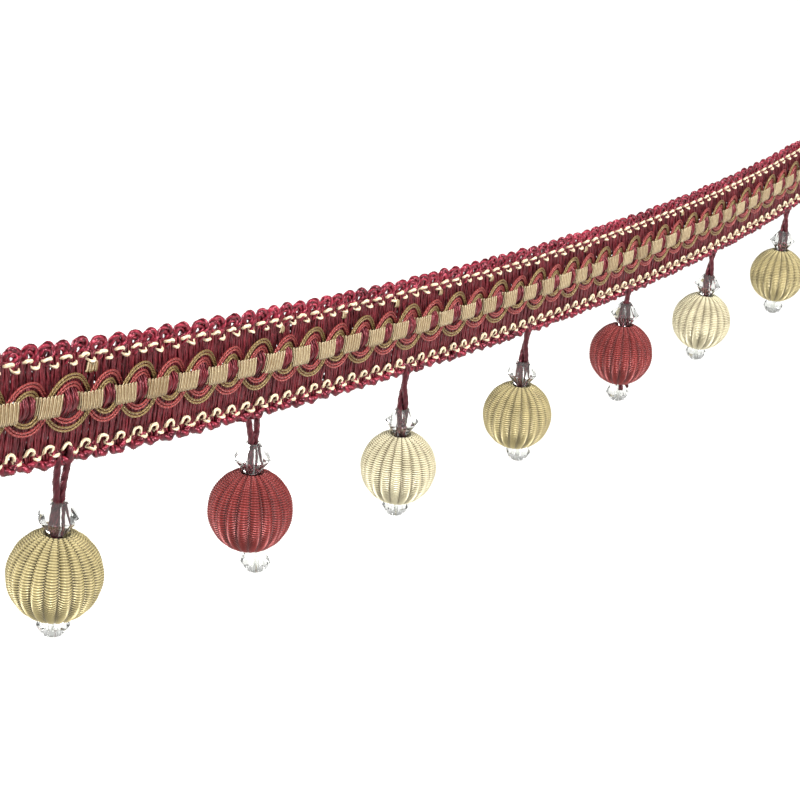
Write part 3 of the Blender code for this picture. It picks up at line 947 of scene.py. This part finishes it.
class FRINGE_OT_squares(bpy.types.Operator):
    """Works the ribbon over each crossing as a square of ribs, with its strip between
    squares and the few places where its backing shows"""

    bl_idname = "fringe.squares"
    bl_label = "Ribbon squares"

    def execute(self, context):
        """The squares, the strip's runs from each square down to the ground and up to the
        next, and the bits of backing are one mesh."""
        settings, colours = context.scene.fringe_heading, context.scene.fringe_colours
        finish = yarn_finish(
            "beige_rayon_ribbon",
            colours.beige,
            colours.beige_deep,
            filaments=2,
            slant=0.0,
            groove_shade=0.75,
            rough=0.36,
            streak=0.4,
        )
        random = np.random.default_rng(61)
        middle = FIRST_SQUARE + SQUARE_PITCH * np.arange(SQUARE_COUNT)
        radius = mm(settings, "ribbon_rib") / 2

        wide, high = 2 * SQUARE_HALF_LONG, 2 * SQUARE_HALF_HIGH - 1.6 * radius
        whole = slipped(middle[np.abs(middle) < HALF_LENGTH - SQUARE_HALF_LONG])
        size = (wide, high, 0.0, RIBS_PER_SQUARE, radius)
        meshes = [ribs("squares", random, whole, *size, SQUARE_DEPTH, SIDE_RIBS)]
        gaps = slipped(middle[:-1] + SQUARE_PITCH / 2)
        run_s, run_y = STRIP_RUN.T
        for height in (-0.5, 0.5):
            s = gaps[:, None] + run_s
            paths = np.stack([s, run_y + 0 * s, height + 0 * s], axis=-1)
            rings, distance = tubes(through(paths, 2), 0.4, 6, (0.0, 0.0, 1.0), flat=0.7)
            meshes.append(ring_mesh("strip", on_heading(rings), distance, 0.0))
        for bit in BACKING_BITS:
            place = np.array([bit["s"]])
            count = max(2, round(bit["wide"] / BACKING_PITCH))
            size = (bit["wide"], bit["high"] - 0.5, BACKING_TOP - bit["high"] / 2, count, 0.36)
            meshes.append(ribs("bit", random, place, *size, BACKING_DEPTH))
        mesh = joined("ribbon_squares", meshes)
        piece("ribbon_squares", mesh, finish, "beige_ribbon", "square_ribbon")
        return {"FINISHED"}


def pendant_axes(number):
    """A pendant's ball centre in metres, and its directions: aside, to the back and up.
    The boxes of its two beads give their centres, because each bead is the same both
    ways about its centre."""
    upper = sum(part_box(f"bicone_{number}"), Vector()) / 2
    lower = sum(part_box(f"drop_{number}"), Vector()) / 2
    up = (upper - lower).normalized()
    centre = upper - up * BALL_TO_BICONE * MM
    aside = (Vector((1, 0, 0)) - up * up.x).normalized()
    return np.array(centre), np.array([aside, up.cross(aside), up])


def on_pendant(number, places, turn=0.0):
    """Places aside, back and up from a ball's centre in millimetres as points in metres,
    first turned about the pendant's axis by that many degrees."""
    centre, axes = pendant_axes(number)
    a = math.radians(turn)
    spin = np.array([[math.cos(a), math.sin(a), 0], [-math.sin(a), math.cos(a), 0], [0, 0, 1]])
    return centre + MM * (np.asarray(places) @ spin @ axes)


def even(path, rows):
    """The same path with its points at equal distances."""
    distance = run(path)
    wanted = np.linspace(0, distance[-1], rows)
    return np.stack([np.interp(wanted, distance, path[:, k]) for k in range(3)], axis=-1)


class FRINGE_OT_hangers(bpy.types.Operator):
    """Threads each pendant's doubled cord from the heading through its beads and ball"""

    bl_idname = "fringe.hangers"
    bl_label = "Hanging cords"

    def execute(self, context):
        """A leg goes from its place in the heading to the pendant's axis, at a distance from
        it that falls smoothly from the spread to the pair's, turning about it by twist.
        One pendant also shows the two cut ends of its cord, to either side of its bead."""
        settings, colours = context.scene.fringe_pendants, context.scene.fringe_colours
        finish = yarn_finish(
            "burgundy_braid_cord",
            colours.cord,
            colours.cord_deep,
            filaments=4,
            slant=0.6,
            groove_shade=0.4,
            rough=0.4,
        )
        radius = mm(settings, "cord") / 2
        short = 2.6  # of the leg's root above, and of the lower bead's middle below
        for number, row in enumerate(PENDANTS, start=1):
            random = np.random.default_rng(80 + number)
            centre, _ = pendant_axes(number)
            s = (number - (PENDANT_COUNT + 1) / 2) * PENDANT_PITCH
            hook = on_heading((s, -1.2, BOTTOM_EDGE - 0.8))
            reach = float(np.linalg.norm(hook - centre)) / MM
            closed = BALL_TO_BICONE + BICONE_HALF_HIGH
            legs = []
            for side, root in zip((-1, 1), row["roots"]):
                down = np.linspace(reach - short, -row["drop"] + short, 64)
                share = rise((down - closed) / max(reach - closed, 1.0))
                away = PAIR_APART + (row["spread"] - PAIR_APART) * share
                angle = TAU * row["twist"] * (reach - down)
                aside, back = side * away * np.cos(angle), side * away * np.sin(angle)
                lower = on_pendant(number, np.stack([aside, back, down], axis=-1))
                at = s + side * row["spread"]
                rooted = on_heading([(at, y, v) for y, v in LEG_ROOTS[root]])
                keys = np.concatenate([rooted, lower]) / MM
                legs.append(even(through(keys, 3), 120))
            twist = random.random(2)
            rings, distance = tubes(
                np.array(legs), radius, 8, FRONT, ply=0.12, turns=0.25, phase=twist
            )
            meshes = [ring_mesh("legs", MM * rings, distance, random.normal(0, 0.05, 2))]
            if number == CUT_ENDS_AT:
                ends = []
                for side in (-1.9, 1.9):
                    end = np.array(
                        [
                            (0.5 * side, -1.4, -7.6),
                            (0.85 * side, -2.0, -9.6),
                            (side, -2.3, -11.3),
                        ]
                    )
                    ends.append(even(through(on_pendant(number, end) / MM, 6), 14))
                rings, distance = tubes(np.array(ends), 0.8, 8, FRONT, ply=0.15, turns=0.2)
                meshes.append(ring_mesh("cut_ends", MM * rings, distance, -0.2))
            name = f"hanger_{number}"
            mesh = joined(name, meshes) if len(meshes) > 1 else meshes[0]
            piece(f"{name}_cord", mesh, finish, "burgundy_yarn", name)
        return {"FINISHED"}


def cut_bead(number, name, profile, sides, shift, turn, material, aside=0.0):
    """A faceted bead with a bore: rings of the profile's radii and heights, each face
    flat. It hangs aside from the pendant's axis, about half along the heading and the
    rest to the front."""
    r, z = np.array(profile, float).T
    angle = TAU * np.arange(sides) / sides
    rings = np.stack(
        [r[:, None] * np.cos(angle), r[:, None] * np.sin(angle), shift + z[:, None] + 0 * angle],
        axis=-1,
    )
    off = aside * on_pendant(number, (0.54, -0.84, 0)) - aside * on_pendant(number, (0, 0, 0))
    points = on_pendant(number, rings, turn)[None] + off
    distance = np.arange(len(r), dtype=float)[None]
    mesh = ring_mesh(name, points, distance, 0.0, looped=True)
    mesh.shade_flat()
    return piece(name, mesh, material, "clear_bead", name.replace("_bead", ""))


class FRINGE_OT_beads(bpy.types.Operator):
    """Cuts the clear beads: a bicone over each ball and a round bead under it"""

    bl_idname = "fringe.beads"
    bl_label = "Clear beads"

    def execute(self, context):
        """Each bead is a closed profile of radii and heights, spun in flat facets."""
        acrylic = acrylic_finish(context.scene.fringe_colours.acrylic)
        half, wide = BICONE_HALF_HIGH, BICONE_RADIUS
        bicone = (
            (1.3, -half + 0.1),
            (1.65, -half),
            (wide, -0.12),
            (wide, 0.12),
            (1.65, half),
            (1.3, half - 0.1),
            (0.62, half - 0.5),
            (0.62, -half + 0.5),
        )
        half, wide = DROP_HALF_HIGH, DROP_RADIUS
        drop = (
            (0.9, -half + 0.15),
            (1.35, -half),
            (2.45, -0.78 * half),
            (3.12, -0.42 * half),
            (wide, -0.05 * half),
            (3.2, 0.38 * half),
            (2.5, 0.76 * half),
            (1.5, half),
            (0.9, half - 0.15),
            (0.8, half - 0.5),
            (0.8, -half + 0.5),
        )
        for number, row in enumerate(PENDANTS, start=1):
            turn, down = row["turn"], -row["drop"]
            upper, lower = f"bicone_{number}_bead", f"drop_{number}_bead"
            cut_bead(number, upper, bicone, 8, BALL_TO_BICONE, turn, acrylic)
            cut_bead(number, lower, drop, 12, down, turn, acrylic, row["aside"])
        return {"FINISHED"}


class FRINGE_OT_balls(bpy.types.Operator):
    """Wraps the balls: floss wound round twenty ribs from mouth to mouth"""

    bl_idname = "fringe.balls"
    bl_label = "Wrapped balls"

    def execute(self, context):
        """The skin's distance from the centre is the ball's radius, less the rib depth times
        one less the size of a cosine that has twenty lobes, plus the thread relief times a
        cosine along the meridian, half a thread later on every other rib."""
        settings, colours = context.scene.fringe_pendants, context.scene.fringe_colours
        per_rib, per_thread = 8, 4
        columns = RIB_COUNT * per_rib
        rows = THREAD_COUNT * per_thread + 1
        radius = mm(settings, "ball_width") / 2
        highest, lowest = math.acos(TOP_MOUTH / radius), -math.acos(BOTTOM_MOUTH / radius)
        latitude = np.linspace(lowest, highest, rows)[:, None]
        angle = TAU * np.arange(columns) / columns
        lobe = angle / TAU * RIB_COUNT
        ridge = np.abs(np.sin(math.pi * lobe))
        odd = np.floor(lobe + 1e-6) % 2
        thread = np.linspace(0, THREAD_COUNT, rows)[:, None] + 0.5 * odd + THREAD_BOW * ridge
        narrow = np.cos(latitude) ** 0.7 * rise((latitude + 1.3) / 0.7)
        lift = -mm(settings, "rib_depth") * narrow * (1 - ridge**0.8)
        relief = mm(settings, "thread_relief") * (0.45 + 0.55 * narrow)
        lift = lift + relief * np.cos(TAU * thread) * np.sqrt(ridge) - relief
        skin_r, skin_z = (radius + lift) * np.cos(latitude), (radius + lift) * np.sin(latitude)
        bore = np.array(
            [
                (2.5, 9.35),
                (2.0, 8.7),
                (1.6, 6.0),
                (1.6, -6.0),
                (1.8, -7.9),
                (2.6, -8.4),
                (2.95, -9.0),
            ]
        )
        r = np.concatenate([skin_r, np.repeat(bore[:, :1], columns, axis=1)])
        z = np.concatenate([skin_z, np.repeat(bore[:, 1:], columns, axis=1)])
        rings = np.stack([r * np.cos(angle), r * np.sin(angle), z], axis=-1)
        distance = np.concatenate(
            [np.linspace(0, THREAD_COUNT, rows), np.full(len(bore), THREAD_COUNT + 5.0)]
        )[None]
        finishes = {
            tint: thread_finish(
                f"{tint}_wound_floss",
                getattr(colours, f"ball_{tint}"),
                getattr(colours, f"ball_{tint}_deep"),
            )
            for tint in BALL_COLOURS
        }
        for number, row in enumerate(PENDANTS, start=1):
            tint = BALL_COLOURS[(number - 1) % len(BALL_COLOURS)]
            points = on_pendant(number, rings, row["turn"])[None]
            mesh = ring_mesh(f"ball_{number}", points, distance, 0.0, RIB_COUNT, looped=True)
            piece(f"ball_{number}_floss", mesh, finishes[tint], f"ball_{tint}", f"ball_{number}")
        return {"FINISHED"}


class FRINGE_OT_stage(bpy.types.Operator):
    """Sets the pale floor, the soft lights, the surroundings and the camera"""

    bl_idname = "fringe.stage"
    bl_label = "Stage and camera"

    def execute(self, context):
        scene = context.scene
        settings, colours = scene.fringe_stage, scene.fringe_colours
        across = np.linspace(-40.0, 40.0, 3)
        x, y = np.meshgrid(across, across)
        z = np.full_like(x, -settings.drop)
        corners = np.stack([x, y, z], axis=-1).reshape(-1, 3)
        i, j = np.meshgrid(np.arange(2), np.arange(2), indexing="ij")
        first = (3 * i + j).ravel()
        faces = np.stack([first, first + 1, first + 4, first + 3], axis=-1)
        mesh = bpy.data.meshes.new("floor")
        mesh.from_pydata(corners.tolist(), [], faces.tolist())
        mesh.materials.append(floor_finish(tuple(colours.floor)))
        floor = bpy.data.objects.new("floor", mesh)
        scene.collection.objects.link(floor)
        sun = bpy.data.lights.new("sun", "SUN")
        sun.angle = math.radians(20)
        sun.energy = settings.sun
        lamps = [(sun, Vector((-0.35, -0.3, 1.0)))]
        softboxes = (
            ("top_light", (-0.3, -0.5, 1.3), settings.top),
            ("left_light", (-1.15, 1.1, 0.65), settings.sides),
            ("right_light", (0.4, -1.5, 0.6), settings.sides),
        )
        for name, place, power in softboxes:
            lamp = bpy.data.lights.new(name, "AREA")
            lamp.shape = "SQUARE"
            lamp.size = 0.6
            lamp.energy = power
            lamps.append((lamp, Vector(place)))
        for lamp, place in lamps:
            made = bpy.data.objects.new(lamp.name, lamp)
            made.location = place
            made.rotation_euler = (-place).to_track_quat("-Z", "Y").to_euler()
            scene.collection.objects.link(made)
        world = bpy.data.worlds.new("soft_surroundings")
        world.use_nodes = True
        tree = world.node_tree
        tree.nodes.clear()
        direction = add(tree, "ShaderNodeTexCoord").node.outputs["Generated"]
        height = add(tree, "ShaderNodeSeparateXYZ", {0: direction}).node.outputs[2]
        strength = add(
            tree,
            "ShaderNodeMapRange",
            {
                "Value": height,
                "From Max": 0.3,
                "To Min": settings.horizon,
                "To Max": settings.zenith,
            },
        )
        background = add(
            tree, "ShaderNodeBackground", {"Color": (1.0, 1.0, 1.0, 1.0), "Strength": strength}
        )
        add(tree, "ShaderNodeOutputWorld", {"Surface": background})
        scene.world = world
        scene.view_settings.view_transform = "Standard"
        turn, tilt, roll = (math.radians(a) for a in (CAMERA_TURN, CAMERA_TILT, CAMERA_ROLL))
        forward = Vector(
            (math.sin(turn) * math.cos(tilt), math.cos(turn) * math.cos(tilt), -math.sin(tilt))
        )
        right = Vector((math.cos(turn), -math.sin(turn), 0))
        down = forward.cross(right)
        rolled_right = math.cos(roll) * right + math.sin(roll) * down
        rolled_down = -math.sin(roll) * right + math.cos(roll) * down
        placed = Matrix((rolled_right, -rolled_down, -forward)).transposed().to_4x4()
        placed.translation = MM * Vector(CAMERA_PLACE)
        lens = bpy.data.cameras.new("camera")
        lens.lens = CAMERA_LENS
        lens.sensor_width = CAMERA_SENSOR
        lens.clip_start = 0.01
        camera = bpy.data.objects.new("camera", lens)
        camera.matrix_world = placed
        scene.collection.objects.link(camera)
        scene.camera = camera
        return {"FINISHED"}


class FRINGE_PT_panel(bpy.types.Panel):
    bl_label = "Ball Fringe"
    bl_idname = "FRINGE_PT_panel"
    bl_space_type = "VIEW_3D"
    bl_region_type = "UI"
    bl_category = "Ball Fringe"

    def draw(self, context):
        layout = self.layout
        for group in GROUPS:
            box = layout.box()
            settings = getattr(context.scene, group)
            for name in settings.__annotations__:
                box.prop(settings, name)
        for step in STEPS:
            layout.operator(step.bl_idname)


GROUPS = {
    "fringe_heading": HeadingSettings,
    "fringe_pendants": PendantSettings,
    "fringe_colours": ColourSettings,
    "fringe_stage": StageSettings,
}
STEPS = (
    FRINGE_OT_stage,
    FRINGE_OT_ground,
    FRINGE_OT_edge_loops,
    FRINGE_OT_chains,
    FRINGE_OT_scroll,
    FRINGE_OT_squares,
    FRINGE_OT_hangers,
    FRINGE_OT_beads,
    FRINGE_OT_balls,
)


def register():
    for name, group in GROUPS.items():
        bpy.utils.register_class(group)
        setattr(bpy.types.Scene, name, PointerProperty(type=group))
    for cls in (*STEPS, FRINGE_PT_panel):
        bpy.utils.register_class(cls)


def unregister():
    for cls in (FRINGE_PT_panel, *reversed(STEPS)):
        bpy.utils.unregister_class(cls)
    for name, group in reversed(GROUPS.items()):
        delattr(bpy.types.Scene, name)
        bpy.utils.unregister_class(group)


def main():
    register()
    for step in STEPS:
        getattr(bpy.ops.fringe, step.bl_idname.split(".")[1])()


if __name__ == "__main__":
    main()
